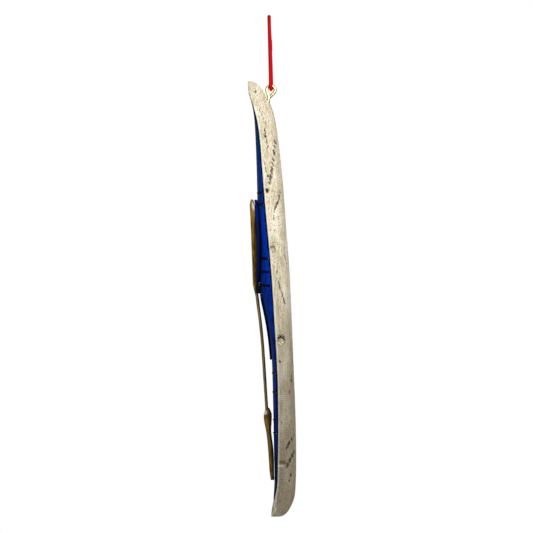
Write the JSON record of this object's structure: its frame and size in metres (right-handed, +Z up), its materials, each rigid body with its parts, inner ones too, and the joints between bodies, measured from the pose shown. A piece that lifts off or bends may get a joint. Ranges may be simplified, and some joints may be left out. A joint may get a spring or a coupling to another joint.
{
  "type": "hanging kayak ornament",
  "caption": "Miniature wooden kayak ornament with blue deck, cockpit, stowed double-bladed paddle and a brass screw eye on a red hanging cord.",
  "frame": {"origin": "inside the top of the hanging loop, where a hook or peg carries it", "axes": "+Z up as it hangs, -Y towards the deck side, +Y towards the keel side, X across the beam"},
  "size_m": [0.0202, 0.0166, 0.1727],
  "materials": {
    "black_elastic": "matt",
    "black_paint": "satin black paint",
    "black_rubber": "matt",
    "bleached_wood": "distressed whitewashed wood",
    "blue_paint": "satin cobalt paint with dark wash",
    "brass": "polished",
    "nickel": "dull nickel",
    "plain_dowel": "plain",
    "red_cord": "woven satin cord",
    "red_sleeve": "whipped and glued joint",
    "varnished_wood": "varnished tan wood"
  },
  "bodies": {
    "cord": {"cord_loop": "red_cord", "cord_splice": "red_sleeve"},
    "eye": {"screw_eye": "brass"},
    "kayak": {"backrest": "black_paint", "coaming_lip": "blue_paint", "coaming_neck": "black_paint", "deck": "blue_paint", "deck_dowels": "plain_dowel", "deck_line_1": "black_elastic", "deck_line_2": "black_elastic", "deck_line_3": "black_elastic", "deck_line_4": "black_elastic", "deck_line_5": "black_elastic", "foredeck_ridge": "blue_paint", "hull": "bleached_wood", "line_tacks": "nickel", "paddle_keeper": "black_rubber", "seat_pan": "varnished_wood", "side_line_left_1": "black_elastic", "side_line_left_2": "black_elastic", "side_line_left_3": "black_elastic", "side_line_left_4": "black_elastic", "side_line_right_1": "black_elastic", "side_line_right_2": "black_elastic", "side_line_right_3": "black_elastic", "side_line_right_4": "black_elastic"},
    "paddle": {"paddle_shaft": "varnished_wood", "paddle_blade_upper": "varnished_wood", "paddle_blade_lower": "varnished_wood"}
  },
  "joints": [
    {"name": "swing", "type": "hinge", "parent": "cord", "child": "eye", "pos_m": [0, 0.00062, -0.0246], "axis": [1, 0, 0], "range_deg": [-45, 45]},
    {"name": "eye_turn", "type": "hinge", "parent": "eye", "child": "kayak", "pos_m": [0, -0.00005, -0.0273], "axis": [0, 0.2419, 0.9703], "range_deg": [-90, 90]},
    {"name": "paddle_lift", "type": "slide", "parent": "kayak", "child": "paddle", "axis": [0, -1, 0], "range_m": [0, 0.008]}
  ]
}
